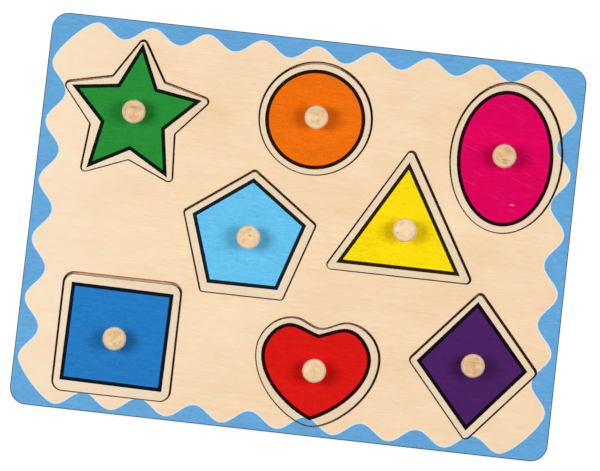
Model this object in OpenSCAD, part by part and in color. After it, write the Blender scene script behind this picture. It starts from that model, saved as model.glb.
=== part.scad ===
// Wooden peg puzzle: a printed board with eight shaped recesses, a backing sheet,
// and eight lift-out shapes, each with a turned knob that a screw holds from below.
// +Z is up, +X runs along the board, and the origin is under the board's centre.

/* [Board] */
// Length of the board
board_l = 300; // [290:1:340]
// Width of the board
board_w = 220; // [212:1:260]
// Radius of the board's corners
board_round = 9.5; // [2:0.5:20]
// Thickness of the sheet that the shapes are sawn from
sheet_t = 6; // [4:0.5:12]
// Thickness of the sheet glued on below it
backing_t = 3; // [2:0.5:6]

/* [Knobs and screws] */
// Height of a knob above its shape
knob_h = 13; // [12:0.5:20]
// Diameter of a knob's head
knob_d = 13.2; // [11:0.2:18]
// Diameter of a knob's neck
knob_neck_d = 7.4; // [6.4:0.2:9]
// Diameter of a knob's foot
knob_foot_d = 9; // [8:0.2:11]
// Diameter of a screw
screw_d = 3; // [2.4:0.1:3.6]
// Diameter of a screw's head
screw_head_d = 5.8; // [5.2:0.1:7]
// Thickness of the rim of a screw's head
screw_rim_t = 0.4; // [0.2:0.1:0.8]
// How far a screw's head lies below the shape's underside
screw_sink = 0.3; // [0.1:0.1:0.8]
// How far a screw goes into its knob
screw_bite = 8; // [5:0.5:9.5]
// Gap round a screw in its hole
screw_gap = 0.05; // [0.02:0.01:0.2]

/* [Star] */
// Radius to the star's tips, before they are rounded
star_r = 43.6; // [36:0.1:46]
// Radius to the star's notches
star_notch_r = 24.7; // [18:0.1:26]
// Radius that rounds a tip
star_tip_round = 2; // [0.5:0.1:4]
// Radius that rounds a notch
star_notch_round = 2; // [1.4:0.1:4]
// Gap between the star and its recess, all round
star_gap = 0.75; // [0.5:0.05:1.2]
// Turn of the star's recess on the board
star_turn = -1; // [-3:0.1:3]

/* [Circle] */
// Diameter of the circle
circle_d = 62.1; // [50:0.1:68]
// Gap between the circle and its recess, all round
circle_gap = 0.8; // [0.5:0.05:1.2]

/* [Oval] */
// Width of the oval
oval_w = 61.4; // [50:0.1:64]
// Height of the oval
oval_h = 83.2; // [70:0.1:88]
// Gap between the oval and its recess, all round
oval_gap = 0.8; // [0.5:0.05:1.2]

/* [Pentagon] */
// Radius to the pentagon's corners, before they are rounded
pentagon_r = 38.6; // [30:0.1:41]
// Radius that rounds a corner
pentagon_round = 1.6; // [0.5:0.1:6]
// Gap between the pentagon and its recess, all round
pentagon_gap = 0.75; // [0.5:0.05:1.2]

/* [Triangle] */
// Radius to the triangle's corners, before they are rounded
triangle_r = 47.6; // [36:0.1:49]
// Radius that rounds a corner
triangle_round = 2.1; // [0.5:0.1:6]
// Gap between the triangle and its recess, all round
triangle_gap = 0.75; // [0.5:0.05:1.2]

/* [Square] */
// Side of the square
square_w = 65; // [52:0.1:67]
// Radius that rounds a corner
square_round = 5.4; // [1:0.1:12]
// Gap between the square and its recess, all round
square_gap = 0.9; // [0.5:0.05:1.4]

/* [Heart] */
// Width of the heart
heart_w = 68.1; // [56:0.1:72]
// Height of the heart
heart_h = 58.5; // [48:0.1:61]
// Gap between the heart and its recess, all round
heart_gap = 0.7; // [0.5:0.05:1.2]

/* [Diamond] */
// Width of the diamond, before its corners are rounded
diamond_w = 70.8; // [58:0.1:74]
// Height of the diamond, before its corners are rounded
diamond_h = 82; // [68:0.1:85]
// Radius that rounds a corner
diamond_round = 2.2; // [0.5:0.1:6]
// Gap between the diamond and its recess, all round
diamond_gap = 0.9; // [0.5:0.05:1.2]

/* [Hidden] */

// How far a cut runs past the face it opens
overrun = 1;
// Facets of a full turn, and steps along a corner or a curve
turn_steps = 96;
corner_steps = 6;
curve_steps = 12;

// Centre of each recess, as shares of the board's length and width
star_spot_share = [-0.3286, 0.2593];
circle_spot_share = [0.0075, 0.3005];
oval_spot_share = [0.3669, 0.2544];
pentagon_spot_share = [-0.0932, -0.0225];
triangle_spot_share = [0.1921, 0.0360];
square_spot_share = [-0.3137, -0.3036];
heart_spot_share = [0.0606, -0.3401];
diamond_spot_share = [0.3474, -0.2782];

// How each shape lies in its recess: along X and Y as shares of its gap, and
// turned by a share of the turn at which its far corner would use up the gap
star_lie_share = [-0.05, -0.5, 0.2];
circle_lie_share = [-0.18, -0.65, 0];
oval_lie_share = [-0.25, -0.65, 0];
pentagon_lie_share = [0, -0.55, 0.1];
triangle_lie_share = [-0.5, -0.55, 0.1];
square_lie_share = [0, -0.65, -0.05];
heart_lie_share = [-0.55, -0.2, 0];
diamond_lie_share = [-0.2, -0.55, 0];

// Where each knob stands on its shape, as shares of the shape's largest radius
star_peg_share = [0.006, 0.032];
circle_peg_share = [0.021, 0.013];
oval_peg_share = [-0.031, 0.013];
pentagon_peg_share = [0.019, 0.026];
triangle_peg_share = [0.023, 0.033];
square_peg_share = [-0.015, -0.03];
heart_peg_share = [-0.019, 0.036];
diamond_peg_share = [-0.006, 0.011];

// Right half of the heart from its foot to its notch, as shares of half its width
// and half its height: three cubic curves that share their end points
heart_curve_share = [[0, -1], [0.318, -1], [1, -0.402], [1, 0.325],
    [1, 0.67], [0.751, 1], [0.439, 1],
    [0.275, 1], [0.159, 0.841], [0, 0.841]];

// Heights on a knob's outline, as shares of the knob's height: where the foot draws
// in, where the neck is thinnest, where it flares, the rim, and the head's shoulder
foot_share = 0.14;
neck_share = 0.34;
flare_share = 0.6;
rim_share = 0.69;
shoulder_share = 0.93;
// Radii on the head's top, as shares of the head's radius: its crown and its flat
crown_share = 0.6;
flat_share = 0.16;

// The cross in a screw's head: its width as a share of the screw's diameter, its
// length as one of the head's, and its depth as one of the head's cone
cross_w_share = 0.25;
cross_l_share = 0.62;
cross_deep_share = 0.8;

screw_cone_h = (screw_head_d - screw_d) / 2;
screw_seat = screw_sink + screw_rim_t + screw_cone_h;
screw_top = sheet_t + screw_bite;
screw_point_h = screw_d;
cross_w = screw_d * cross_w_share;
cross_l = screw_head_d * cross_l_share;
cross_deep = screw_cone_h * cross_deep_share;

// Unit vector, and a vector turned by an angle
function unit(v) = v / norm(v);
function turned(v, a) = [v.x * cos(a) - v.y * sin(a), v.x * sin(a) + v.y * cos(a)];

// Outward normal of a side of a counterclockwise outline
function side_normal(a, b) = turned(unit(b - a), -90);

// Points before and after point i of a closed outline
function before(pts, i) = pts[(i + len(pts) - 1) % len(pts)];
function after(pts, i) = pts[(i + 1) % len(pts)];

// Outline moved outwards by d, side by side
function grown(pts, d) = [for (i = [0 : len(pts) - 1])
    let (m = side_normal(before(pts, i), pts[i]), n = side_normal(pts[i], after(pts, i)))
    pts[i] + d * (m + n) / (1 + m * n)];

// Outline whose corner i is an arc of radius radii[i]
function rounded(pts, radii) = [for (i = [0 : len(pts) - 1])
    let (u = unit(pts[i] - before(pts, i)), v = unit(after(pts, i) - pts[i]),
        bend = atan2(u.x * v.y - u.y * v.x, u * v),
        start = pts[i] - u * radii[i] * tan(abs(bend) / 2),
        centre = start + turned(u, 90) * radii[i] * sign(bend))
    for (k = [0 : corner_steps])
        centre + turned(start - centre, bend * k / corner_steps)];

// Point of a cubic curve, and a run of them without the last
function cubic(p, t) = p[0] * pow(1 - t, 3) + 3 * p[1] * t * pow(1 - t, 2)
    + 3 * p[2] * t * t * (1 - t) + p[3] * pow(t, 3);
function curve(p) = [for (k = [0 : curve_steps - 1]) cubic(p, k / curve_steps)];

// Corners of a regular outline with one corner at the top
function regular(n, r) = [for (i = [0 : n - 1]) turned([0, r], i * 360 / n)];
function same(n, r) = [for (i = [0 : n - 1]) r];

star_points = rounded(
    [for (i = [0 : 9]) turned([0, i % 2 == 0 ? star_r : star_notch_r], i * 36)],
    [for (i = [0 : 9]) i % 2 == 0 ? star_tip_round : star_notch_round]);
oval_points = [for (i = [0 : turn_steps - 1]) let (a = i * 360 / turn_steps)
    [cos(a) * oval_w / 2, sin(a) * oval_h / 2]];
pentagon_points = rounded(regular(5, pentagon_r), same(5, pentagon_round));
triangle_points = rounded(regular(3, triangle_r), same(3, triangle_round));
square_points = rounded([for (s = [[1, -1], [1, 1], [-1, 1], [-1, -1]]) s * square_w / 2],
    same(4, square_round));
heart_half = [for (k = [0 : 2]) each curve([for (j = [0 : 3])
    [heart_curve_share[3 * k + j].x * heart_w / 2, heart_curve_share[3 * k + j].y * heart_h / 2]])];
heart_points = concat(heart_half, [[0, heart_curve_share[9].y * heart_h / 2]],
    [for (i = [len(heart_half) - 1 : -1 : 1]) [-heart_half[i].x, heart_half[i].y]]);
diamond_points = rounded([[diamond_w / 2, 0], [0, diamond_h / 2],
    [-diamond_w / 2, 0], [0, -diamond_h / 2]], same(4, diamond_round));

// Outline of each shape, or of its recess when it is widened by the gap
module star_outline(wide = 0) { polygon(grown(star_points, wide)); }
module circle_outline(wide = 0) { circle(d = circle_d + 2 * wide, $fn = turn_steps); }
module oval_outline(wide = 0) { polygon(grown(oval_points, wide)); }
module pentagon_outline(wide = 0) { polygon(grown(pentagon_points, wide)); }
module triangle_outline(wide = 0) { polygon(grown(triangle_points, wide)); }
module square_outline(wide = 0) { polygon(grown(square_points, wide)); }
module heart_outline(wide = 0) { polygon(grown(heart_points, wide)); }
module diamond_outline(wide = 0) { polygon(grown(diamond_points, wide)); }

// Outline of the board, with round corners
module board_outline() {
    square([board_l - 2 * board_round, board_w], center = true);
    square([board_l, board_w - 2 * board_round], center = true);
    for (x = [-1, 1], y = [-1, 1])
        translate([x * (board_l / 2 - board_round), y * (board_w / 2 - board_round)])
            circle(r = board_round, $fn = turn_steps);
}

// Moves its children to a recess, and turns them with it
module at_spot(spot, turn = 0) {
    translate([spot.x * board_l, spot.y * board_w, 0]) rotate(turn) children();
}

// Moves its children to where a shape lies in its recess, on the backing
module at_rest(spot, lie, gap, reach, turn = 0) {
    at_spot(spot, turn) translate([lie.x * gap, lie.y * gap, backing_t])
        rotate(lie.z * asin(gap / reach)) children();
}

// Moves its children to where the knob stands on a shape
module at_peg(peg, reach) { translate([peg.x * reach, peg.y * reach, 0]) children(); }

// A shape sawn from the sheet, with its screw's hole and countersink
module sawn_shape(peg, reach) {
    difference() {
        linear_extrude(sheet_t) children();
        at_peg(peg, reach) {
            translate([0, 0, -overrun]) cylinder(d = screw_d + 2 * screw_gap,
                h = sheet_t + 2 * overrun, $fn = turn_steps);
            translate([0, 0, -overrun]) cylinder(d = screw_head_d + 2 * screw_gap,
                h = overrun + screw_sink + screw_rim_t, $fn = turn_steps);
            translate([0, 0, screw_sink + screw_rim_t])
                cylinder(d1 = screw_head_d + 2 * screw_gap, d2 = screw_d + 2 * screw_gap,
                    h = screw_cone_h, $fn = turn_steps);
        }
    }
}

// A turned knob with its pilot hole, standing on the sheet's upper face
module turned_knob(peg, reach) {
    foot = knob_foot_d / 2;
    neck = knob_neck_d / 2;
    head = knob_d / 2;
    profile = concat([[0, 0]],
        curve([[foot, 0], [foot, knob_h * foot_share],
            [neck, knob_h * foot_share], [neck, knob_h * neck_share]]),
        curve([[neck, knob_h * neck_share], [neck, knob_h * flare_share],
            [head, knob_h * flare_share], [head, knob_h * rim_share]]),
        curve([[head, knob_h * rim_share], [head, knob_h * shoulder_share],
            [head * crown_share, knob_h], [head * flat_share, knob_h]]),
        [[head * flat_share, knob_h], [0, knob_h]]);
    at_peg(peg, reach) translate([0, 0, sheet_t]) difference() {
        rotate_extrude($fn = turn_steps) polygon(profile);
        translate([0, 0, -overrun]) cylinder(d = screw_d + 2 * screw_gap,
            h = overrun + screw_bite - screw_point_h, $fn = turn_steps);
        translate([0, 0, screw_bite - screw_point_h])
            cylinder(d1 = screw_d + 2 * screw_gap, d2 = 2 * screw_gap,
                h = screw_point_h + screw_gap, $fn = turn_steps);
    }
}

// A countersunk screw with a cross recess, its head at the sheet's underside
module wood_screw(peg, reach) {
    at_peg(peg, reach) difference() {
        union() {
            translate([0, 0, screw_sink]) cylinder(d = screw_head_d, h = screw_rim_t, $fn = turn_steps);
            translate([0, 0, screw_sink + screw_rim_t])
                cylinder(d1 = screw_head_d, d2 = screw_d, h = screw_cone_h, $fn = turn_steps);
            translate([0, 0, screw_seat])
                cylinder(d = screw_d, h = screw_top - screw_point_h - screw_seat, $fn = turn_steps);
            translate([0, 0, screw_top - screw_point_h])
                cylinder(d1 = screw_d, d2 = 0, h = screw_point_h, $fn = turn_steps);
        }
        for (a = [0, 90]) rotate(a) translate([-cross_l / 2, -cross_w / 2, screw_sink - overrun])
            cube([cross_l, cross_w, overrun + cross_deep]);
    }
}

module frame_board() {
    color("wheat") translate([0, 0, backing_t]) linear_extrude(sheet_t) difference() {
        board_outline();
        at_spot(star_spot_share, star_turn) star_outline(star_gap);
        at_spot(circle_spot_share) circle_outline(circle_gap);
        at_spot(oval_spot_share) oval_outline(oval_gap);
        at_spot(pentagon_spot_share) pentagon_outline(pentagon_gap);
        at_spot(triangle_spot_share) triangle_outline(triangle_gap);
        at_spot(square_spot_share) square_outline(square_gap);
        at_spot(heart_spot_share) heart_outline(heart_gap);
        at_spot(diamond_spot_share) diamond_outline(diamond_gap);
    }
}

module backing_board() {
    color("tan") linear_extrude(backing_t) board_outline();
}

// Each shape's place, shared by its piece, its knob and its screw
module star_place() {
    at_rest(star_spot_share, star_lie_share, star_gap, star_r, star_turn) children();
}
module circle_place() {
    at_rest(circle_spot_share, circle_lie_share, circle_gap, circle_d / 2) children();
}
module oval_place() { at_rest(oval_spot_share, oval_lie_share, oval_gap, oval_h / 2) children(); }
module pentagon_place() {
    at_rest(pentagon_spot_share, pentagon_lie_share, pentagon_gap, pentagon_r) children();
}
module triangle_place() {
    at_rest(triangle_spot_share, triangle_lie_share, triangle_gap, triangle_r) children();
}
module square_place() { at_rest(square_spot_share, square_lie_share, square_gap, square_w / 2) children(); }
module heart_place() { at_rest(heart_spot_share, heart_lie_share, heart_gap, heart_w / 2) children(); }
module diamond_place() {
    at_rest(diamond_spot_share, diamond_lie_share, diamond_gap, diamond_h / 2) children();
}

module star_piece() {
    color("forestgreen") star_place() sawn_shape(star_peg_share, star_r) star_outline();
}
module star_knob() { color("burlywood") star_place() turned_knob(star_peg_share, star_r); }
module star_screw() { color("silver") star_place() wood_screw(star_peg_share, star_r); }

module circle_piece() {
    color("darkorange") circle_place() sawn_shape(circle_peg_share, circle_d / 2) circle_outline();
}
module circle_knob() { color("burlywood") circle_place() turned_knob(circle_peg_share, circle_d / 2); }
module circle_screw() { color("silver") circle_place() wood_screw(circle_peg_share, circle_d / 2); }

module oval_piece() {
    color("mediumvioletred") oval_place() sawn_shape(oval_peg_share, oval_h / 2) oval_outline();
}
module oval_knob() { color("burlywood") oval_place() turned_knob(oval_peg_share, oval_h / 2); }
module oval_screw() { color("silver") oval_place() wood_screw(oval_peg_share, oval_h / 2); }

module pentagon_piece() {
    color("skyblue") pentagon_place() sawn_shape(pentagon_peg_share, pentagon_r) pentagon_outline();
}
module pentagon_knob() { color("burlywood") pentagon_place() turned_knob(pentagon_peg_share, pentagon_r); }
module pentagon_screw() { color("silver") pentagon_place() wood_screw(pentagon_peg_share, pentagon_r); }

module triangle_piece() {
    color("gold") triangle_place() sawn_shape(triangle_peg_share, triangle_r) triangle_outline();
}
module triangle_knob() { color("burlywood") triangle_place() turned_knob(triangle_peg_share, triangle_r); }
module triangle_screw() { color("silver") triangle_place() wood_screw(triangle_peg_share, triangle_r); }

module square_piece() {
    color("royalblue") square_place() sawn_shape(square_peg_share, square_w / 2) square_outline();
}
module square_knob() { color("burlywood") square_place() turned_knob(square_peg_share, square_w / 2); }
module square_screw() { color("silver") square_place() wood_screw(square_peg_share, square_w / 2); }

module heart_piece() {
    color("crimson") heart_place() sawn_shape(heart_peg_share, heart_w / 2) heart_outline();
}
module heart_knob() { color("burlywood") heart_place() turned_knob(heart_peg_share, heart_w / 2); }
module heart_screw() { color("silver") heart_place() wood_screw(heart_peg_share, heart_w / 2); }

module diamond_piece() {
    color("indigo") diamond_place() sawn_shape(diamond_peg_share, diamond_h / 2) diamond_outline();
}
module diamond_knob() { color("burlywood") diamond_place() turned_knob(diamond_peg_share, diamond_h / 2); }
module diamond_screw() { color("silver") diamond_place() wood_screw(diamond_peg_share, diamond_h / 2); }

frame_board();
backing_board();
star_piece();
star_knob();
star_screw();
circle_piece();
circle_knob();
circle_screw();
oval_piece();
oval_knob();
oval_screw();
pentagon_piece();
pentagon_knob();
pentagon_screw();
triangle_piece();
triangle_knob();
triangle_screw();
square_piece();
square_knob();
square_screw();
heart_piece();
heart_knob();
heart_screw();
diamond_piece();
diamond_knob();
diamond_screw();
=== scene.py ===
import math

import bpy
import numpy as np
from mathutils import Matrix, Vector
from mathutils.geometry import delaunay_2d_cdt


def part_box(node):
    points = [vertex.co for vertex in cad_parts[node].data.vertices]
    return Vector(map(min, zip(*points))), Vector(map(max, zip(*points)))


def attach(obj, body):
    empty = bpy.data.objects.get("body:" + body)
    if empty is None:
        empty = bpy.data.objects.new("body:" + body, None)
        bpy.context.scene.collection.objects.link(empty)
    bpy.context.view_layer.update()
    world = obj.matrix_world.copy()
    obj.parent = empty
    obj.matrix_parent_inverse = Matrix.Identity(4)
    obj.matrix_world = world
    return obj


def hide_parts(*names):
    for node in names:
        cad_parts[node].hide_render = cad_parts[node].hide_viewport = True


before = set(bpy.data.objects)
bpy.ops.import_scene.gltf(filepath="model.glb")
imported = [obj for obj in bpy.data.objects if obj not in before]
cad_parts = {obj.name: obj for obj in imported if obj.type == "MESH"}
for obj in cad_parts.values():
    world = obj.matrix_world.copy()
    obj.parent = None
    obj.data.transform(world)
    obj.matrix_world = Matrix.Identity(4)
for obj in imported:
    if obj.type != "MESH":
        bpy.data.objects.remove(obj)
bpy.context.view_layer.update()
mm = 0.001
print("frame loaded,", len(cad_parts), "nodes")


# Node maths

class Wire:
    # one socket of a node tree: sums and products of wires add their Math nodes
    def __init__(self, tree, socket=None):
        self.tree = tree
        self.socket = socket

    def node(self, kind, settings=None, values=None, out=0):
        made = self.tree.nodes.new(kind)
        for key, value in (settings or {}).items():
            setattr(made, key, value)
        for key, value in (values or {}).items():
            for one in value if isinstance(value, list) else [value]:
                if isinstance(one, Wire):
                    self.tree.links.new(one.socket, made.inputs[key])
                else:
                    made.inputs[key].default_value = one
        return Wire(self.tree, made.outputs[out])

    def math(self, operation, *values):
        return self.node("ShaderNodeMath", {"operation": operation}, dict(enumerate(values)))

    def __add__(self, other):
        return self.math("ADD", self, other)

    def __sub__(self, other):
        return self.math("SUBTRACT", self, other)

    def __rsub__(self, other):
        return self.math("SUBTRACT", other, self)

    def __mul__(self, other):
        return self.math("MULTIPLY", self, other)

    def __truediv__(self, other):
        return self.math("DIVIDE", self, other)

    def __gt__(self, other):
        return self.math("GREATER_THAN", self, other)

    def __lt__(self, other):
        return self.math("LESS_THAN", self, other)

    __radd__ = __add__
    __rmul__ = __mul__


def paint(red, green, blue):      # a colour as seen on screen, 0 to 255, made linear
    share = [c / 255 for c in (red, green, blue)]
    return tuple(c / 12.92 if c <= 0.04045 else ((c + 0.055) / 1.055) ** 2.4 for c in share) + (1,)


def mixed(wire, first, second, factor, how="MIX"):
    # sockets 6 and 7 are the two colours, and output 2 is the mixed one
    return wire.node("ShaderNodeMix", {"data_type": "RGBA", "blend_type": how},
                     {0: factor, 6: first, 7: second}, out=2)


def swing(wire, amount):          # a noise made to swing round zero
    return (wire - 0.5) * amount


def vectorMath(operation, first, second):
    return first.node("ShaderNodeVectorMath", {"operation": operation}, {0: first, 1: second})


def lengthOf(wire):
    return wire.node("ShaderNodeVectorMath", {"operation": "LENGTH"}, {0: wire}, out="Value")


def partOf(wire, axis):
    return wire.node("ShaderNodeSeparateXYZ", None, {"Vector": wire}, out=axis)


def vectorOf(wire, **parts):
    return wire.node("ShaderNodeCombineXYZ", None, parts)


def stretched(at, x, y, z):       # coordinates scaled per axis, for a pattern drawn out one way
    return vectorMath("MULTIPLY", at, (x, y, z))


def noise(at, scale=1.0, detail=2.0, rough=0.5):
    return at.node("ShaderNodeTexNoise", None,
                   {"Vector": at, "Scale": scale, "Detail": detail, "Roughness": rough})


def ramped(wire, low, high):      # 0 below low, 1 above high, smooth between
    return wire.node("ShaderNodeMapRange", {"interpolation_type": "SMOOTHSTEP"},
                     {"Value": wire, "From Min": low, "From Max": high})


def newFinish(name):
    material = bpy.data.materials.new(name)
    material.use_nodes = True
    material.node_tree.nodes.clear()
    start = Wire(material.node_tree)
    at = start.node("ShaderNodeTexCoord", out="Object")
    inMm = at.node("ShaderNodeVectorMath", {"operation": "SCALE"}, {0: at, "Scale": 1 / mm})
    return material, inMm


def dress(wire, colour, rough, relief, depth, fixed=None):
    # relief is about 0 to 1, and depth is how high 1 stands, in metres
    bump = wire.node("ShaderNodeBump", None, {"Height": relief, "Distance": depth, "Strength": 1.0})
    values = {"Base Color": colour, "Roughness": rough, "Normal": bump, **(fixed or {})}
    shader = wire.node("ShaderNodeBsdfPrincipled", None, values)
    wire.tree.links.new(shader.socket, wire.tree.nodes.new("ShaderNodeOutputMaterial").inputs["Surface"])


# Finishes of the plywood

# a span is where a smooth ramp starts and ends
face = {                          # tones first, then how strongly each pattern shows
    "board": ((251, 226, 190), (239, 205, 161)), "shapes": ((239, 223, 194), (227, 203, 166)),
    "underside": ((232, 208, 172), (214, 184, 142)), "recess": ((240, 208, 170), (224, 186, 144)),
    "fibres": 1.35, "streaks": 0.75, "clouds": 1.4, "tone": 0.45,
    "bendScale": (0.012, 0.03, 0.03), "bend": 6.0,
    "sapwood": (248, 230, 205), "sapSpan": (-140, -70), "sapWander": 60,
    "blush": (253, 211, 184), "blushSize": 4.5, "blushScale": (0.5, 1, 1),
    "blushSpan": (0.42, 0.7), "blushShare": 0.45,
    "roughMore": 0.12, "relief": 0.02, "shine": 0.2,
}
grain = {                         # length, width, scale downwards, detail, roughness
    "fibres": (5.0, 0.7, 0.3, 4.0, 0.6),
    "streaks": (26.0, 1.5, 0.3, 3.0, 0.55),
    "clouds": (60.0, 24.0, 0.05, 3.0, 0.5),
}
inked = {                         # how the wood shows through the ink
    "fibres": 0.48, "streaks": 0.2, "clouds": 0.24, "speckle": 0.66, "speckleScale": 1.6,
    "rough": 0.45, "roughMore": 0.1, "shine": 0.015,
    "scratchTurn": 20, "scratchSize": (16.0, 0.4), "scratchDown": 0.3, "scratchSpan": (0.68, 0.8),
    "scratchPale": 0.55,
    "chipSize": (1.1, 0.26), "chipWander": 2.0, "chipSpan": (0.6, 1.2),
}
edge = {                          # sawn plies, every second one laid crosswise and darker
    "plies": 5, "light": (222, 172, 124), "dark": (168, 112, 70),
    "fibres": 1.1, "scorch": 1.3, "crossed": 0.5, "tone": 0.2,
    "fibreScale": (1.1, 1.1, 6.0), "scorchScale": (0.9, 0.9, 0.12),
    "glue": (104, 66, 42), "glueShare": 0.16, "glueCore": 0.3, "glueInk": 0.75,
    # the near-black brim is partly scorch of the cut and partly painted shade of the narrow gaps round the
    # shapes
    "brimScorchAndShade": (18, 9, 5), "brimFrom": 2.3, "brimTo": 0.4, "brimWander": 0.5, "scorchAndShadeShare": 0.95,
    "rough": 0.65, "roughMore": 0.2, "relief": 0.06, "fibreRelief": 0.4, "glueRelief": 0.3,
}


def veneer(at):
    # fine fibres along X, a few longer streaks and soft clouds, all bent by one slow wave
    wave = noise(stretched(at, *face["bendScale"]), detail=1.0) * face["bend"]
    bent = vectorMath("ADD", at, vectorOf(at, Y=wave))
    return [noise(stretched(bent, 1 / length, 1 / width, down), 1.0, detail, rough)
            for length, width, down, detail, rough in grain.values()]


def bareWood(at, pale, tan, sap, fibres, streaks, clouds):
    amount = (swing(fibres, face["fibres"]) + swing(streaks, face["streaks"])
              + swing(clouds, face["clouds"]) + face["tone"])
    colour = mixed(at, paint(*pale), paint(*tan), amount)
    left = partOf(at, "X") + swing(clouds, face["sapWander"])
    colour = mixed(at, colour, paint(*face["sapwood"]), sap - sap * ramped(left, *face["sapSpan"]))
    patches = noise(stretched(at, *face["blushScale"]), 1 / face["blushSize"], 3.0, 0.6)
    blush = ramped(patches, *face["blushSpan"]) * face["blushShare"]
    return mixed(at, colour, paint(*face["blush"]), blush)


def woodFinish(name, pale, tan, rough=0.46, sap=0.0):
    # sap is how far the paler wood at the board's left end shows
    material, at = newFinish(name)
    fibres, streaks, clouds = veneer(at)
    colour = bareWood(at, pale, tan, sap, fibres, streaks, clouds)
    dress(at, colour, fibres * face["roughMore"] + rough, fibres, face["relief"] * mm,
          {"Specular IOR Level": face["shine"]})
    return material


def scratches(at):
    # fine lines that all run the same way
    aslant = at.node("ShaderNodeVectorRotate", {"rotation_type": "Z_AXIS"},
                     {"Vector": at, "Angle": math.radians(inked["scratchTurn"])})
    length, width = inked["scratchSize"]
    lines = noise(stretched(aslant, 1 / length, 1 / width, inked["scratchDown"]), 1.0, 1.0)
    return ramped(lines, *inked["scratchSpan"])


def chipped(at, spot, speckle):
    # 1 in the small chip at a spot of the board, with an uneven rim
    length, width = inked["chipSize"]
    off = stretched(vectorMath("SUBTRACT", at, (*spot, 0)), 1 / length, 1 / width, 0)
    return 1 - ramped(lengthOf(off) + swing(speckle, inked["chipWander"]), *inked["chipSpan"])


def inkFinish(name, ink, strength=1.0, worn=0.0, chip=None):
    # ink lies in the veneer, so its fibres show through; worn ink has pale scratches and a chip
    material, at = newFinish(name)
    fibres, streaks, clouds = veneer(at)
    speckle = noise(at, inked["speckleScale"], 3.0, 0.7)
    dim = (swing(fibres, inked["fibres"]) + swing(streaks, inked["streaks"])
           + swing(clouds, inked["clouds"]) + swing(speckle, inked["speckle"])) * strength + 1.0
    colour = mixed(at, paint(*ink), vectorOf(at, X=dim, Y=dim, Z=dim), 1.0, "MULTIPLY")
    if worn:
        pale = [round(c + (255 - c) * inked["scratchPale"]) for c in ink]
        colour = mixed(at, colour, paint(*pale), scratches(at) * worn)
    if chip:
        colour = mixed(at, colour, paint(*face["board"][0]), chipped(at, chip, speckle))
    dress(at, colour, fibres * inked["roughMore"] + inked["rough"], fibres, face["relief"] * mm,
          {"Specular IOR Level": inked["shine"]})
    return material


def sawnFinish(name, low, high, scorchedAndShaded=False):
    # plies between two heights, browned by the cut, and when asked darkest at the brim, partly scorch and
    # partly painted shade
    material, at = newFinish(name)
    up, bottom, top = partOf(at, "Z"), low / mm, high / mm
    layer = (up - bottom) * (edge["plies"] / (top - bottom))
    fromGlue = layer.math("PINGPONG", layer, 0.5)
    glue = 1 - ramped(fromGlue, edge["glueShare"] * edge["glueCore"], edge["glueShare"])
    crossed = layer.math("FLOORED_MODULO", layer, 2.0) > 1.0
    fibres = noise(stretched(at, *edge["fibreScale"]), 1.0, 4.0, 0.65)
    scorch = noise(stretched(at, *edge["scorchScale"]), 1.0, 3.0, 0.6)
    amount = (swing(fibres, edge["fibres"]) + swing(scorch, edge["scorch"])
              + crossed * edge["crossed"] + edge["tone"])
    burnt = mixed(at, paint(*edge["light"]), paint(*edge["dark"]), amount)
    colour = mixed(at, burnt, paint(*edge["glue"]), glue * edge["glueInk"])
    # near-black towards the wall's top: partly scorch and partly painted shade of the gap
    if scorchedAndShaded:
        wavy = up + swing(scorch, edge["brimWander"])
        brimScorchAndShade = ramped(wavy, top - edge["brimFrom"], top - edge["brimTo"])
        colour = mixed(at, colour, paint(*edge["brimScorchAndShade"]), brimScorchAndShade * edge["scorchAndShadeShare"])
    relief = scorch + fibres * edge["fibreRelief"] - glue * edge["glueRelief"]
    dress(at, colour, scorch * edge["roughMore"] + edge["rough"], relief, edge["relief"] * mm)
    return material


# Outlines, as arrays of points in metres, counterclockwise round the material

def spun(points, degrees):
    c, s = math.cos(math.radians(degrees)), math.sin(math.radians(degrees))
    return points @ np.array([[c, s], [-s, c]])


def regular(corners, radius):
    return np.array([[-math.sin(i * math.tau / corners), math.cos(i * math.tau / corners)]
                     for i in range(corners)]) * radius * mm


def starPoints(tip, notch):
    radii = np.array([tip, notch] * 5)[:, None]
    return regular(10, 1) * radii


def rectangle(width, height):
    return np.array([[-width, height], [-width, -height], [width, -height], [width, height]]) * mm / 2


def ellipse(width, height, steps=160):
    angles = np.arange(steps) * math.tau / steps
    return np.column_stack((np.cos(angles) * width, np.sin(angles) * height)) * mm / 2


def rhomb(width, height):
    return np.array([[width, 0], [0, height], [-width, 0], [0, -height]]) * mm / 2


def cubic(p, steps):              # points of a cubic curve, without its last
    t = (np.arange(steps) / steps)[:, None]
    p = np.array(p, float)
    return p[0] * (1 - t) ** 3 + 3 * p[1] * t * (1 - t) ** 2 + 3 * p[2] * t * t * (1 - t) + p[3] * t ** 3


def heartPoints(width, height, shares, steps=20):
    half = np.vstack([cubic(shares[3 * k:3 * k + 4], steps) for k in range(3)] + [[shares[-1]]])
    other = half[-2:0:-1] * [-1, 1]
    return np.vstack((half, other)) * [width / 2, height / 2] * mm


def inset(loop, depth):
    # moves a loop into the material, which lies on its left
    into = loop - np.roll(loop, 1, axis=0)
    out = np.roll(into, -1, axis=0)
    normals = []
    for d in (into, out):
        d = d / np.linalg.norm(d, axis=1)[:, None]
        normals.append(np.column_stack((-d[:, 1], d[:, 0])))
    both = normals[0] + normals[1]
    return loop + depth * both / (1 + (normals[0] * normals[1]).sum(axis=1))[:, None]


def area(loop):
    x, y = loop[:, 0], loop[:, 1]
    return (x * np.roll(y, -1) - y * np.roll(x, -1)).sum() / 2


def middle(loop):
    return (loop.min(axis=0) + loop.max(axis=0)) / 2


def chained(edges):
    # directed edges, as pairs of point keys, joined into closed loops
    after = dict(edges)
    loops = []
    while after:
        start, at = after.popitem()
        loop = [start]
        while at != start:
            loop.append(at)
            at = after.pop(at)
        loops.append(loop)
    return loops


def rimEdges(triangles):
    # edges that only one triangle has
    edges = {(t[i], t[(i + 1) % 3]) for t in triangles for i in range(3)}
    return [e for e in edges if (e[1], e[0]) not in edges]


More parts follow.
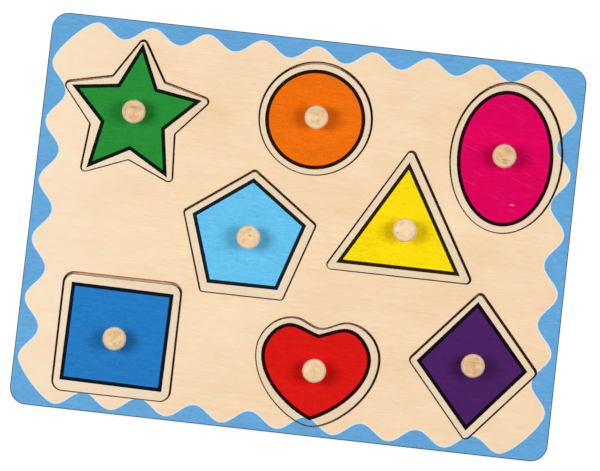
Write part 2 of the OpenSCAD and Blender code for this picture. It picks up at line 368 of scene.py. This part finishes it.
def smoothed(loop, step, corner=50.0, uneven=2.5, straight=0.99999):
    # rounds off a chain of chords: corners and long straight sides stay as they are
    into = loop - np.roll(loop, 1, axis=0)
    lengthIn = np.linalg.norm(into, axis=1)
    into = into / lengthIn[:, None]
    out, lengthOut = np.roll(into, -1, axis=0), np.roll(lengthIn, -1)
    sharp = (into * out).sum(axis=1) < math.cos(math.radians(corner))
    points = []
    for i in range(len(loop)):
        j = (i + 1) % len(loop)
        length = lengthOut[i]
        tangents = []
        for k in (i, j):
            if sharp[k]:
                tangent = out[i]
            elif lengthIn[k] > uneven * lengthOut[k]:
                tangent = into[k]
            elif lengthOut[k] > uneven * lengthIn[k]:
                tangent = out[k]
            else:
                tangent = into[k] * lengthOut[k] + out[k] * lengthIn[k]
            tangents.append(tangent / np.linalg.norm(tangent))
        flat = min(tangents[0] @ out[i], tangents[1] @ out[i]) > straight
        steps = 1 if flat else max(1, round(length / step))
        handle = length / 3
        points.append(cubic([loop[i], loop[i] + tangents[0] * handle,
                             loop[j] - tangents[1] * handle, loop[j]], steps))
    return np.vstack(points)


def cadLoops(node, top, step=0.7 * mm, near=1e-6):
    # outlines of a CAD node's flat face, at the top or the bottom of its box
    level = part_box(node)[1 if top else 0].z
    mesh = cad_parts[node].data
    corners = [tuple(round(c / mm, 3) for c in v.co) for v in mesh.vertices]
    flat = [p for p in mesh.polygons if all(abs(mesh.vertices[i].co.z - level) < near for i in p.vertices)]
    loops = chained(rimEdges([[corners[i] for i in p.vertices] for p in flat]))
    found = [np.array([p[:2] for p in loop]) * mm for loop in loops]
    if not top:
        found = [loop[::-1] for loop in found]
    found.sort(key=lambda loop: -abs(area(loop)))
    return [smoothed(loop, step) for loop in found]


def within(points, loop):
    # which points lie inside a loop, by counting crossings
    inside = np.zeros(len(points), bool)
    px, py = points[:, 0], points[:, 1]
    for (ax, ay), (bx, by) in zip(loop, np.roll(loop, -1, axis=0)):
        if ay != by:
            crossing = ((ay > py) != (by > py)) & (px < (bx - ax) * (py - ay) / (by - ay) + ax)
            inside ^= crossing
    return inside


# Sheets

easeSteps = 3
easeGuard = 0.08 * mm             # a narrow band that keeps the walls' shading flat


def eased(ease):                  # insets and drops round a sanded corner, from the face to the wall
    angles = [math.pi / 2 * k / easeSteps for k in range(easeSteps + 1)]
    return [(ease * (1 - math.sin(a)), ease * (1 - math.cos(a))) for a in angles]


def easedRim(ease, top, bottom, easeBelow):
    # insets and heights down an edge whose corners were sanded
    rim = [(depth, top - drop) for depth, drop in eased(ease)]
    rim.append((0, rim[-1][1] - easeGuard))
    if not easeBelow:
        return rim + [(0, bottom)]
    below = [(depth, bottom + drop) for depth, drop in eased(easeBelow)]
    return rim + [(0, below[-1][1] + easeGuard)] + below[::-1]


def cutFace(loops, marks, near=0.02):
    # triangulates the face inside the loops, with the marks as lines in it; near is in mm
    points, lines = [], []
    for loop in loops + marks:
        first, count = len(points), len(loop)
        points += [Vector(p / mm) for p in loop]
        lines += [(first + i, first + (i + 1) % count) for i in range(count)]
    # 0 fills the whole hull, and what lies outside the loops is left out below
    found, _, faces, origins, *_ = delaunay_2d_cdt(points, lines, [], 0, near)
    spots = np.array([p[:] for p in found]) * mm
    faces = np.array(faces)
    centres = spots[faces].mean(axis=1)
    solid = np.zeros(len(faces), bool)
    for loop in loops:
        solid ^= within(centres, loop)
    return spots, faces[solid], centres[solid], origins


def likest(loops, loop):
    # which of the loops lies where this one does and holds the same area
    def miss(other):
        apart = np.linalg.norm(middle(other) - middle(loop))
        return apart + abs(abs(area(other)) - abs(area(loop))) / mm

    return min(range(len(loops)), key=lambda k: miss(loops[k]))


def wallDown(verts, polys, chain, rim):
    # hangs rows of quads from a chain of vertices, and gives the lowest row and its outline
    loop = np.array([verts[i][:2] for i in chain])
    count = len(loop)
    ring = chain
    for depth, height in rim[1:]:
        moved = inset(loop, depth - rim[0][0])
        below = list(range(len(verts), len(verts) + count))
        verts += [(x, y, height) for x, y in moved]
        for i in range(count):
            j = (i + 1) % count
            polys.append([ring[i], below[i], below[j], ring[j]])
        ring = below
    return ring, moved


def makeSheet(name, loops, rims, marks, finishAt, finishes, brink=None):
    # a flat piece: printed face, eased and sawn edges, plain underside
    # finishes hold the face's own first, then the edges' and the underside's
    # brink is the place of the finish on the eased part of the outer edge, where it has its own
    wall, underside = len(finishes) - 2, len(finishes) - 1
    tops = [inset(loop, rim[0][0]) for loop, rim in zip(loops, rims)]
    spots, faces, centres, _ = cutFace(tops, marks)
    used = np.unique(faces)
    place = {old: new for new, old in enumerate(used)}
    level = rims[0][0][1]
    verts = [(x, y, level) for x, y in spots[used]]
    polys = [[place[i] for i in f] for f in faces]
    slots = list(finishAt(centres))
    flat = len(polys)
    bottoms = []
    for chain in chained(rimEdges(polys)):
        which = likest(tops, np.array([verts[i][:2] for i in chain]))
        bottoms.append(wallDown(verts, polys, chain, rims[which]))
        painted = easeSteps if brink and which == 0 else 0
        sawn = len(rims[which]) - 1 - painted
        slots += [brink] * (painted * len(chain)) + [wall] * (sawn * len(chain))
    smooth = len(polys)
    _, faces, _, origins = cutFace([moved for _, moved in bottoms], [])
    ends = [i for ring, _ in bottoms for i in ring]
    polys += [[ends[origins[i][0]] for i in f[::-1]] for f in faces]
    slots += [underside] * len(faces)
    mesh = bpy.data.meshes.new(name)
    mesh.from_pydata(verts, [], polys)
    for finish in finishes:
        mesh.materials.append(finish)
    mesh.polygons.foreach_set("material_index", slots)
    mesh.polygons.foreach_set("use_smooth", [flat <= i < smooth for i in range(len(polys))])
    mesh.validate()
    return placed(name, mesh)


def placed(name, mesh):
    piece = bpy.data.objects.new(name, mesh)
    bpy.context.scene.collection.objects.link(piece)
    return piece


def settle(piece, body, node, slot):
    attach(piece, body)
    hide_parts(node)


# The printed border, its waves counted from the board's middle

border = {
    "blue": (103, 168, 219), "brink": (30, 66, 84),
    "line": (226, 234, 234), "lineWidth": 0.65, "lineFibres": 0.3,
    "shift": (-0.45, -0.7),       # how far the print sits off the board's middle
    "longPeriod": 31.0, "longLobes": 9, "longOut": 107.1, "longIn": 99.15,
    "shortPeriod": 33.1, "shortLobes": 6, "shortOut": 147.05, "shortIn": 137.85,
    "handleShare": 0.38, "cornerHandle": 6.25,
}


def borderLoop(steps=14):
    # one side's lobes and crests, from its first lobe to its last
    def side(period, lobes, out, inner):
        return [((i - (lobes - 1)) * period / 2, inner if i % 2 else out) for i in range(2 * lobes - 1)]

    long = side(border["longPeriod"], border["longLobes"], border["longOut"], border["longIn"])
    short = side(border["shortPeriod"], border["shortLobes"], border["shortOut"], border["shortIn"])
    knots = []                    # a point, the direction there, and the handle to the next
    for quarter, run in enumerate((short, long, short, long)):
        turn = quarter * 90
        along = spun(np.array([[0.0, 1.0]]), turn)[0]
        reach = border["handleShare"] * abs(run[1][0] - run[0][0])
        for k, (place, out) in enumerate(run):
            point = spun(np.array([[out, place]]), turn)[0]
            last = k == len(run) - 1
            knots.append((point, along, border["cornerHandle"] if last else reach))
    loop = []
    for (a, u, reach), (b, v, _) in zip(knots, knots[1:] + knots[:1]):
        loop.append(cubic([a, a + u * reach, b - v * reach, b], steps))
    return (np.vstack(loop) + border["shift"]) * mm


waves = borderLoop()
waveLine = inset(waves, border["lineWidth"] * mm)


# Board

board = {"ease": 0.45, "cutEase": 0.15, "backTopEase": 0.02, "backEase": 0.6,
         "sap": 0.55, "undersideRough": 0.62, "recessRough": 0.64}
sheetLow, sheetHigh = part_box("frame_board")
backLow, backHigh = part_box("backing_board")

wood = woodFinish("birchFace", *face["board"], sap=board["sap"])
backWood = woodFinish("birchUnderside", *face["underside"], board["undersideRough"])
floorWood = woodFinish("birchBacking", *face["recess"], board["recessRough"])
blue = inkFinish("borderBlue", border["blue"])
whiteLine = inkFinish("borderLine", border["line"], border["lineFibres"])
brinkBlue = inkFinish("borderBrink", border["brink"])
sheetEdge = sawnFinish("sawnPlies", sheetLow.z, sheetHigh.z)
# the shapes' walls, near-black at the brim with scorch and painted shade
cutEdge = sawnFinish("scorchedAndShadedPlies", sheetLow.z, sheetHigh.z, True)
backEdge = sawnFinish("sawnBackingPlies", backLow.z, backHigh.z)

outlines = cadLoops("frame_board", True)
rims = [easedRim((board["cutEase"] if i else board["ease"]) * mm, sheetHigh.z, sheetLow.z, 0)
        for i in range(len(outlines))]


def borderAt(spots):              # 0 on the wood, 1 on the line along the waves, 2 on the blue
    return 2 - within(spots, waves) - within(spots, waveLine).astype(int)


sheet = makeSheet("printed_board", outlines, rims, [waves, waveLine], borderAt,
                  [wood, whiteLine, blue, brinkBlue, sheetEdge, backWood], brink=3)
settle(sheet, "board", "frame_board", "printed_plywood")

outlines = cadLoops("backing_board", True)
backRim = easedRim(board["backTopEase"] * mm, backHigh.z, backLow.z, board["backEase"] * mm)
back = makeSheet("backing_sheet", outlines, [backRim], [], lambda spots: np.zeros(len(spots), int),
                 [floorWood, backEdge, backWood])
settle(back, "board", "backing_board", "backing_plywood")
print("board made")


# Shapes

# curves round half of the heart, in shares of half its width and height
heartShares = [(0, -1), (0.42, -0.81), (1, -0.27), (1, 0.34), (1, 0.645), (0.759, 1), (0.506, 1),
               (0.366, 1), (0.216, 0.906), (0, 0.82)]
shape = {"ease": 0.22, "sinkDepth": 0.7, "sap": 0.4, "wear": 0.05,
         "lineWidth": 2.12, "lineInk": (7, 6, 8), "lineTint": 0.12, "lineFibres": 0.6}
prints = {                        # ink, outline, how far off the middle, its turn, wear, a chip's place
    "star": ((40, 141, 55), starPoints(39.5, 19.5) * (0.977, 1.024), (-0.06, 0.5), -0.8),
    "circle": ((240, 112, 12), ellipse(55.9, 55.9), (-0.06, -0.05), 0.0),
    "oval": ((222, 3, 91), ellipse(53.6, 75.9), (-0.43, -0.02), 2.3, 0.14, (116, 30)),
    "pentagon": ((104, 196, 240), regular(5, 33.55), (-0.2, 0.72), 0.25),
    "triangle": ((253, 221, 14), regular(3, 40.0), (-0.35, -0.8), 0.0),
    "square": ((38, 124, 196), rectangle(57.2, 54.7), (-0.12, 0.36), -0.77),
    "heart": ((216, 24, 19), heartPoints(61.2, 52.65, heartShares), (-0.58, 0.15), 0.2),
    "diamond": ((75, 33, 98), rhomb(61.8, 71.7), (-0.45, 0.4), 0.43),
}

pieceWood = woodFinish("birchFaceOfShapes", *face["shapes"], sap=shape["sap"])


def makeShape(name, ink, outline, shift, turn, worn=shape["wear"], chip=None):
    node = name + "_piece"
    low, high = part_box(node)
    loops = cadLoops(node, True)
    bore, sink = loops[1], cadLoops(node, False)[1]
    flare = math.sqrt(-area(sink) / math.pi) - math.sqrt(-area(bore) / math.pi)
    sinkTop = low.z + shape["sinkDepth"] * mm
    boreRim = [(0, high.z), (0, sinkTop + flare), (flare, sinkTop), (flare, low.z)]
    outerRim = easedRim(shape["ease"] * mm, high.z, low.z, shape["ease"] * mm)
    outline = spun(outline, turn)
    outline = outline - middle(outline) + middle(loops[0]) + np.array(shift) * mm
    fill = inset(outline, shape["lineWidth"] * mm)
    dark = [round(a + (b - a) * shape["lineTint"]) for a, b in zip(shape["lineInk"], ink)]

    def finishAt(spots):          # as borderAt, then 3 on the outline and 4 on the colour in it
        region = borderAt(spots)
        region[within(spots, outline)] = 3
        region[within(spots, fill)] = 4
        return region

    outlineInk = inkFinish(name + "Outline", dark, shape["lineFibres"])
    fillInk = inkFinish(name + "Ink", ink, 1.0, worn, chip)
    finishes = [pieceWood, whiteLine, blue, outlineInk, fillInk, cutEdge, backWood]
    marks = [outline, fill, waves, waveLine]
    piece = makeSheet(name + "_shape", loops, [outerRim, boreRim], marks, finishAt, finishes)
    settle(piece, name, node, name + "_print")


for name, row in prints.items():
    makeShape(name, *row)
print("shapes made")


# Turned knobs and screws

weld = 1e-6                       # points this near to each other are made one
formInputs = {
    "Profile": "Geometry", "Radius": "Float", "Height": "Float", "Turn Steps": "Int",
    "Thread Pitch": "Float", "Thread Depth": "Float", "Thread Bottom": "Float", "Thread Top": "Float",
    "Finish": "Material",
}
placeInputs = {"Spot": "Vector", "Turn": "Float"}
crossInputs = {"Cross Length": "Float", "Cross Width": "Float", "Cross Depth": "Float"}


def newTree(name, inputs):
    tree = bpy.data.node_groups.new(name, "GeometryNodeTree")
    for title, kind in inputs.items():
        tree.interface.new_socket(title, in_out="INPUT", socket_type="NodeSocket" + kind)
    tree.interface.new_socket("Geometry", in_out="OUTPUT", socket_type="NodeSocketGeometry")
    given = tree.nodes.new("NodeGroupInput")
    return Wire(tree), {s.name: Wire(tree, s) for s in given.outputs if s.name}


def endTree(geometry, given):
    # turns the form about its own axis, moves it to its spot and gives it its finish
    turn = vectorOf(geometry, Z=given["Turn"])
    stood = geometry.node("GeometryNodeTransform", None,
                          {"Geometry": geometry, "Translation": given["Spot"], "Rotation": turn})
    real = geometry.node("GeometryNodeRealizeInstances", None, {"Geometry": stood})
    painted = geometry.node("GeometryNodeSetMaterial", None,
                            {"Geometry": real, "Material": given["Finish"]})
    out = geometry.tree.nodes.new("NodeGroupOutput")
    geometry.tree.links.new(painted.socket, out.inputs["Geometry"])


def turnedFormTree():
    # spins a profile of points, given in shares of a radius and a height, about Z
    start, given = newTree("turnedForm", {**formInputs, **placeInputs})
    count = start.node("GeometryNodeAttributeDomainSize", {"component": "MESH"},
                       {"Geometry": given["Profile"]}, out="Point Count")
    grid = start.node("GeometryNodeMeshGrid", None, {"Size X": 1.0, "Size Y": 1.0, "Vertices X": count,
                                                     "Vertices Y": given["Turn Steps"] + 1})
    position = start.node("GeometryNodeInputPosition")
    u = partOf(position, "X") + 0.5
    v = partOf(position, "Y") + 0.5
    row = u.math("ROUND", u * (count - 1))
    point = start.node("GeometryNodeSampleIndex", {"data_type": "FLOAT_VECTOR", "domain": "POINT"},
                       {"Geometry": given["Profile"], "Value": position, "Index": row})
    radius = partOf(point, "X") * given["Radius"]
    height = partOf(point, "Z") * given["Height"]
    wave = start.math("PINGPONG", height / given["Thread Pitch"] - v, 0.5) * 2.0
    cut = given["Thread Depth"] * wave * (height > given["Thread Bottom"]) * (height < given["Thread Top"])
    angle = v * math.tau
    reach = radius.math("MAXIMUM", radius - cut, 0.0)
    moved = vectorOf(start, X=reach * angle.math("COSINE", angle),
                     Y=reach * angle.math("SINE", angle), Z=height)
    form = start.node("GeometryNodeSetPosition", None, {"Geometry": grid, "Position": moved})
    closed = start.node("GeometryNodeMergeByDistance", None, {"Geometry": form, "Distance": weld})
    shaded = start.node("GeometryNodeSetShadeSmooth", None, {"Geometry": closed, "Shade Smooth": True})
    endTree(shaded, given)
    return start.tree


def crossedScrewTree(turnedForm):
    # a turned screw whose head has a cross sunk in it from below
    start, given = newTree("crossedScrew", {**formInputs, **placeInputs, **crossInputs})

    def boolean(operation, values):
        return start.node("GeometryNodeMeshBoolean", {"operation": operation, "solver": "EXACT"}, values)

    body = start.node("GeometryNodeGroup", {"node_tree": turnedForm},
                      {title: given[title] for title in formInputs})
    length, width, depth = given["Cross Length"], given["Cross Width"], given["Cross Depth"]
    past = 1.3                    # the bars run past the cone, which ends the cross on all sides
    blunt = width * 0.4
    sizes = [vectorOf(start, X=x, Y=y, Z=depth * (past * 2))
             for x, y in ((length * past, width), (width, length * past))]
    bars = [start.node("GeometryNodeMeshCube", None, {"Size": size}) for size in sizes]
    cone = start.node("GeometryNodeMeshCone", None, {
        "Vertices": 32, "Radius Bottom": length - blunt, "Radius Top": blunt, "Depth": depth * 2.0})
    aside = (0, 0, 0.05)          # keeps the cone's edges off the bars' and the head's
    taper = start.node("GeometryNodeTransform", None, {
        "Geometry": cone, "Translation": vectorOf(start, Z=depth * -1.0), "Rotation": aside})
    cross = boolean("UNION", {"Mesh 2": bars})
    point = boolean("INTERSECT", {"Mesh 2": [cross, taper]})
    driven = boolean("DIFFERENCE", {"Mesh 1": body, "Mesh 2": point})
    clean = start.node("GeometryNodeMergeByDistance", None, {"Geometry": driven, "Distance": weld * 2})
    endTree(clean, given)
    return start.tree


def profileMesh(points):
    mesh = bpy.data.meshes.new("profile")
    mesh.from_pydata([(r, 0, z) for r, z in points], [(i, i + 1) for i in range(len(points) - 1)], [])
    return mesh


def grown(name, tree, profile, values, crease):
    # runs a tree on a profile and keeps the plain mesh that it gives
    source = placed("source", profileMesh(profile))
    modifier = source.modifiers.new("form", "NODES")
    modifier.node_group = tree
    for socket in tree.interface.items_tree:
        if socket.in_out == "INPUT" and socket.name in values:
            modifier[socket.identifier] = values[socket.name]
    source.update_tag()
    evaluated = source.evaluated_get(bpy.context.evaluated_depsgraph_get())
    mesh = bpy.data.meshes.new_from_object(evaluated)
    mesh.name = name
    bpy.data.objects.remove(source)
    mesh.set_sharp_from_angle(angle=math.radians(crease))
    return placed(name, mesh)


knob = {
    "foot": 4.5, "neck": 3.7,     # radii; the head's radius and the height are the frame's
    "footShare": 0.14, "neckShare": 0.34, "flareShare": 0.6, "rimShare": 0.69, "shoulderShare": 0.95,
    "crownShare": 0.68, "flatShare": 0.16, "curveSteps": (18, 16, 12), "turnSteps": 72, "crease": 50,
    "dimple": 0.18, "dimpleShares": [(0, 1), (0.35, 0.85), (0.75, 0.2)],
    "hole": 1.55, "holeCone": 3.0, "holeSpare": 0.05,
}
turned = {                        # the knobs' wood, and a painted highlight that makes each head paler at its rim
    "pale": (248, 219, 172), "dark": (205, 152, 96), "mark": (112, 70, 42), "side": (252, 226, 194),
    "rings": 0.22, "fibres": 1.3, "patches": 1.5, "toneShare": 0.55, "tone": 0.1,
    "ringGap": 0.95, "ringLean": 0.04, "wobble": 2.6, "wobbleScale": (0.22, 0.22, 0.03),
    "fibreScale": (3.4, 3.4, 0.25), "patchScale": (0.32, 0.32, 0.12),
    "markWander": 1.2, "markSpan": (0.5, 1.3),
    # the side colour and the four values after it make the painted highlight on the head's rim
    "rimHighlightLean": 0.5, "rimHighlightSpan": (4.7, 5.6), "rimHighlightShare": 0.8, "rimHighlightDim": 0.3,
    "rough": 0.42, "roughMore": 0.12, "relief": 0.015, "ringRelief": 0.3,
    "coat": 0.2, "coatRough": 0.38, "shine": 0.25,
}
screw = {
    "shank": 1.5, "rim": 0.4, "pitch": 1.25, "thread": 0.38,
    "pointShare": 0.2, "taperShare": 0.985, "tipShares": [(0, 1), (0.02, 0.995)],
    "threadShare": 0.62, "threadTopShare": 0.97,
    "turnSteps": 32, "stepsPerPitch": 8, "taperSteps": 16, "crease": 40,
    "crossLength": 3.6, "crossWidth": 0.75, "crossDepth": 1.12,
    "steel": (196, 196, 192), "stain": (150, 148, 140), "scratch": 0.8, "stainShare": 0.5,
    "scratchScale": 5.0, "stainScale": 0.8,
    "rough": 0.22, "roughMore": 0.25, "relief": 0.01,
}
grips = {                         # tone, pith, a mark's place, size and strength, the screw's turn
    "star": (0.9, (18, 9), (0.2, 2.3), (2.2, 0.9), 0.4, 20),
    "circle": (0.5, (-14, 20), (0.1, 1.2), (1.1, 0.7), 0.25, 65),
    "oval": (0.95, (9, -24), (0.2, -2.4), (1.8, 0.7), 0.4, 5),
    "pentagon": (0.5, (-22, 6), (0.7, 0.8), (0.9, 0.5), 0.5, 48),
    "triangle": (0.05, (16, -13), (-3.8, -2.0), (0.5, 0.4), 0.9, 80),
    "square": (0.7, (-11, -18), (0.6, -2.6), (1.3, 0.8), 0.2, 33),
    "heart": (0.35, (25, 4), (0.2, -0.9), (0.5, 1.9), 0.18, 57),
    "diamond": (0.95, (3, 30), (0.0, 1.8), (6.5, 0.22), 0.6, 12),
}


def turnedWood():
    # growth rings round a pith that lies off to one side, fibres along Z, and a painted highlight on the
    # head's rim
    material, at = newFinish("turnedBirch")

    def told(title, out="Vector"):  # what makeKnob writes on each knob
        return at.node("ShaderNodeAttribute", {"attribute_name": title}, out=out)

    tone = told("tone", "Fac")
    away = stretched(vectorMath("SUBTRACT", at, told("pith")), 1, 1, turned["ringLean"])
    wobble = noise(stretched(at, *turned["wobbleScale"]), 1.0, 2.0) * turned["wobble"]
    rings = at.math("PINGPONG", (lengthOf(away) + wobble) / turned["ringGap"], 0.5) * 2.0
    fibres = noise(stretched(at, *turned["fibreScale"]), 1.0, 4.0, 0.65)
    patches = noise(stretched(at, *turned["patchScale"]), 1.0, 2.0, 0.5)
    amount = (swing(rings, turned["rings"]) + swing(fibres, turned["fibres"])
              + swing(patches, turned["patches"]) + tone * turned["toneShare"] + turned["tone"])
    colour = mixed(at, paint(*turned["pale"]), paint(*turned["dark"]), amount)

    off = vectorMath("DIVIDE", vectorMath("SUBTRACT", at, told("mark")), told("markSize"))
    reach = lengthOf(stretched(off, 1, 1, 0)) + swing(fibres, turned["markWander"])
    mark = (1 - ramped(reach, *turned["markSpan"])) * told("markInk", "Fac")
    colour = mixed(at, colour, paint(*turned["mark"]), mark)

    # painted highlight: the head turns paler out towards its rim and down its sides, less so on darker
    # knobs
    below = vectorMath("SUBTRACT", told("crown"), at)
    outward = lengthOf(stretched(below, 1, 1, 0)) + partOf(below, "Z") * turned["rimHighlightLean"]
    side = ramped(outward + (fibres - 0.5), *turned["rimHighlightSpan"])
    side = side * (1 - tone * turned["rimHighlightDim"]) * turned["rimHighlightShare"]
    colour = mixed(at, colour, paint(*turned["side"]), side)
    dress(at, colour, fibres * turned["roughMore"] + turned["rough"],
          fibres + rings * turned["ringRelief"], turned["relief"] * mm,
          {"Coat Weight": turned["coat"], "Coat Roughness": turned["coatRough"],
           "Specular IOR Level": turned["shine"]})
    return material


def screwSteel():
    material, at = newFinish("zincSteel")
    scratch = noise(at, screw["scratchScale"], 4.0, 0.7)
    stain = noise(at, screw["stainScale"], 2.0)
    amount = swing(scratch, screw["scratch"]) + stain * screw["stainShare"]
    colour = mixed(at, paint(*screw["steel"]), paint(*screw["stain"]), amount)
    dress(at, colour, scratch * screw["roughMore"] + screw["rough"], scratch, screw["relief"] * mm,
          {"Metallic": 1.0})
    return material


turnedForm = turnedFormTree()
crossedScrew = crossedScrewTree(turnedForm)
birchTurned, steel = turnedWood(), screwSteel()


def knobProfile(radius, height, holeTop):
    # from the middle of the top down the outside and up into the pilot hole, in shares
    foot, neck, hole = (knob[key] * mm / radius for key in ("foot", "neck", "hole"))
    cone, dip = (knob[key] * mm / height for key in ("holeCone", "dimple"))
    flat, rim = knob["flatShare"], knob["rimShare"]
    headSteps, flareSteps, swellSteps = knob["curveSteps"]
    dimple = [(flat * out, 1 - dip * down) for out, down in knob["dimpleShares"]]
    head = cubic([(flat, 1), (knob["crownShare"], 1), (1, knob["shoulderShare"]), (1, rim)], headSteps)
    flare = cubic([(1, rim), (1, knob["flareShare"]),
                   (neck, knob["flareShare"]), (neck, knob["neckShare"])], flareSteps)
    swell = cubic([(neck, knob["neckShare"]), (neck, knob["footShare"]),
                   (foot, knob["footShare"]), (foot, 0)], swellSteps)
    pilot = [(foot, 0), (hole, 0), (hole, holeTop - cone), (0, holeTop)]
    return [*dimple, *map(tuple, head), *map(tuple, flare), *map(tuple, swell), *pilot]


def screwProfile(radius, height):
    # from the tip down to the middle of the head's face, in shares
    shank, rim = screw["shank"] * mm / radius, screw["rim"] * mm / height
    seat = rim + (1 - shank) * radius / height
    top = 1 - screw["pointShare"]
    step = screw["pitch"] * mm / height / screw["stepsPerPitch"]
    taper = np.linspace(screw["taperShare"], top, screw["taperSteps"], endpoint=False)
    points = screw["tipShares"] + [(shank * (1 - (z - top) / (1 - top)), z) for z in taper]
    points += [(shank, z) for z in np.linspace(top, seat, int((top - seat) / step))]
    return points + [(1, rim), (1, 0), (0, 0)]


def makeKnob(name, spot, tone, pith, mark, markSize, markInk):
    low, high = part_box(name + "_knob")
    radius, height = (high.x - low.x) / 2, high.z - low.z
    holeTop = (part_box(name + "_screw")[1].z + knob["holeSpare"] * mm - low.z) / height
    values = {"Radius": radius, "Height": height, "Turn Steps": knob["turnSteps"],
              "Thread Pitch": 1.0,  # a knob has no thread, but the tree divides by its pitch
              "Spot": (*spot, low.z), "Finish": birchTurned}
    profile = knobProfile(radius, height, holeTop)
    piece = grown(name + "_turned_knob", turnedForm, profile, values, knob["crease"])
    foot = Vector((*spot, low.z)) / mm
    told = {"pith": foot + Vector((*pith, 0)), "mark": foot + Vector((*mark, 0)),
            "crown": (foot.x, foot.y, high.z / mm), "markSize": (*markSize, 1),
            "tone": tone, "markInk": markInk}
    for title, value in told.items():
        single = isinstance(value, float)
        attribute = piece.data.attributes.new(title, "FLOAT" if single else "FLOAT_VECTOR", "POINT")
        attribute.data.foreach_set("value" if single else "vector",
                                   ([value] if single else list(value)) * len(piece.data.vertices))
    settle(piece, name, name + "_knob", "turned_wood")


def makeScrew(name, spot, turn):
    low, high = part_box(name + "_screw")
    radius, height = (high.x - low.x) / 2, high.z - low.z
    values = {"Radius": radius, "Height": height, "Turn Steps": screw["turnSteps"],
              "Thread Pitch": screw["pitch"] * mm, "Thread Depth": screw["thread"] * mm,
              "Thread Bottom": height * (1 - screw["threadShare"]),
              "Thread Top": height * screw["threadTopShare"],
              "Spot": (*spot, low.z), "Turn": math.radians(turn), "Finish": steel,
              "Cross Length": screw["crossLength"] * mm, "Cross Width": screw["crossWidth"] * mm,
              "Cross Depth": screw["crossDepth"] * mm}
    profile = screwProfile(radius, height)
    piece = grown(name + "_wood_screw", crossedScrew, profile, values, screw["crease"])
    settle(piece, name, name + "_screw", "screw_steel")


for name, (*look, screwTurn) in grips.items():
    low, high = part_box(name + "_knob")
    spot = ((low.x + high.x) / 2, (low.y + high.y) / 2)
    makeKnob(name, spot, *look)
    makeScrew(name, spot, screwTurn)
print("knobs and screws made")


# Stage

studio = {                        # the camera's place, and its turn in degrees
    "camera": (45.5, -99.1, 1800.0), "cameraTurn": (3.314, 1.066, 6.401), "lens": 193.65,
    "sensor": 36, "sky": 0.02,
    "floor": 0.3, "floorGlow": 0.82, "floorReach": 4000, "floorDrop": 0.2,
}
lamps = {                         # place in mm, width and height, power
    "leftLamp": ((-590, 0, 930), (460, 460), 7.15),
    "rightLamp": ((600, 60, 930), (460, 460), 6.55),
    "frontLamp": ((0, -1000, 300), (900, 300), 1.2),
    "backLamp": ((0, 1000, 300), (900, 300), 0.6),
    "underLamp": ((0, 0, -900), (700, 700), 7.5),
}


def makeCamera():
    camera = bpy.data.objects.new("camera", bpy.data.cameras.new("camera"))
    camera.location = Vector(studio["camera"]) * mm
    camera.rotation_euler = [math.radians(a) for a in studio["cameraTurn"]]
    camera.data.lens = studio["lens"]
    camera.data.sensor_width = studio["sensor"]
    bpy.context.scene.collection.objects.link(camera)
    bpy.context.scene.camera = camera


def makeLamp(name, place, size, power):
    lamp = bpy.data.objects.new(name, bpy.data.lights.new(name, "AREA"))
    lamp.data.shape = "RECTANGLE"
    lamp.data.size, lamp.data.size_y = (s * mm for s in size)
    lamp.data.energy = power
    lamp.visible_camera = False
    lamp.location = Vector(place) * mm
    lamp.rotation_euler = (-lamp.location).to_track_quat("-Z", "Y").to_euler()
    bpy.context.scene.collection.objects.link(lamp)


def makeSky():
    # white where the camera and reflections look, and faint as a light
    world = bpy.data.worlds.new("studio")
    bpy.context.scene.world = world
    world.use_nodes = True
    world.node_tree.nodes.clear()
    start = Wire(world.node_tree)
    seen = (start.node("ShaderNodeLightPath", out="Is Camera Ray")
            + start.node("ShaderNodeLightPath", out="Is Glossy Ray")
            + start.node("ShaderNodeLightPath", out="Is Transmission Ray"))
    strength = seen * (1 - studio["sky"]) + studio["sky"]
    sky = start.node("ShaderNodeBackground", None, {"Strength": strength, "Color": (1, 1, 1, 1)})
    out = world.node_tree.nodes.new("ShaderNodeOutputWorld")
    world.node_tree.links.new(sky.socket, out.inputs["Surface"])


def floorFinish():
    # matt, with a glow that only the camera sees, and clear from below
    material = bpy.data.materials.new("paleFloor")
    material.use_nodes = True
    material.node_tree.nodes.clear()
    start = Wire(material.node_tree)
    matt = start.node("ShaderNodeBsdfDiffuse", None, {"Color": (studio["floor"],) * 3 + (1,)})
    glow = start.node("ShaderNodeEmission", None, {"Color": (1, 1, 1, 1), "Strength": studio["floorGlow"]})
    lit = start.node("ShaderNodeAddShader", None, {0: matt, 1: glow})
    seen = start.node("ShaderNodeLightPath", out="Is Camera Ray")
    both = start.node("ShaderNodeMixShader", None, {0: seen, 1: matt, 2: lit})
    below = start.node("ShaderNodeNewGeometry", out="Backfacing")
    clear = start.node("ShaderNodeBsdfTransparent")
    whole = start.node("ShaderNodeMixShader", None, {0: below, 1: both, 2: clear})
    out = material.node_tree.nodes.new("ShaderNodeOutputMaterial")
    material.node_tree.links.new(whole.socket, out.inputs["Surface"])
    return material


def makeFloor():
    mesh = bpy.data.meshes.new("floor")
    far = studio["floorReach"] * mm
    mesh.from_pydata([(-far, -far, 0), (far, -far, 0), (far, far, 0), (-far, far, 0)], [], [(0, 1, 2, 3)])
    mesh.materials.append(floorFinish())
    floor = placed("floor", mesh)
    floor.location.z = -studio["floorDrop"] * mm
    floor.visible_shadow = False  # lets the lamp below reach the underside


makeCamera()
for name, row in lamps.items():
    makeLamp(name, *row)
makeSky()
makeFloor()
bpy.context.scene.view_settings.view_transform = "Standard"
print("stage set")
